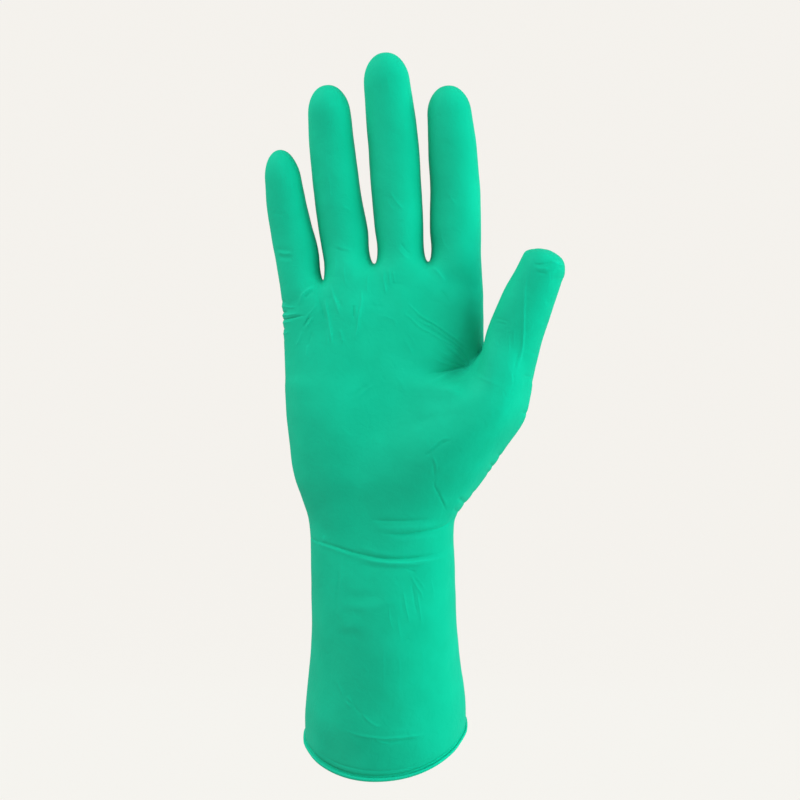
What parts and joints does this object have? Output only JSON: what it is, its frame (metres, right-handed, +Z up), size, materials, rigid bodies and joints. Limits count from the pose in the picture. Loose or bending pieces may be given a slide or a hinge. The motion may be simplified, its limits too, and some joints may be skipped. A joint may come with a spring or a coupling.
{
  "type": "nitrile glove",
  "caption": "Thin long-cuffed protective glove in the form of a raised right hand, palm forward, with folds at the wrist and a rolled bead round the hem.",
  "frame": {"origin": "centre of the cuff's mouth, where the forearm goes in", "axes": "+Z up the fingers, +X towards the thumb, -Y the way the palm faces"},
  "size_m": [0.1156, 0.0811, 0.2829],
  "materials": {
    "nitrile": "satin green nitrile film"
  },
  "bodies": {
    "root": {"glove_film": "nitrile"}
  },
  "joints": []
}
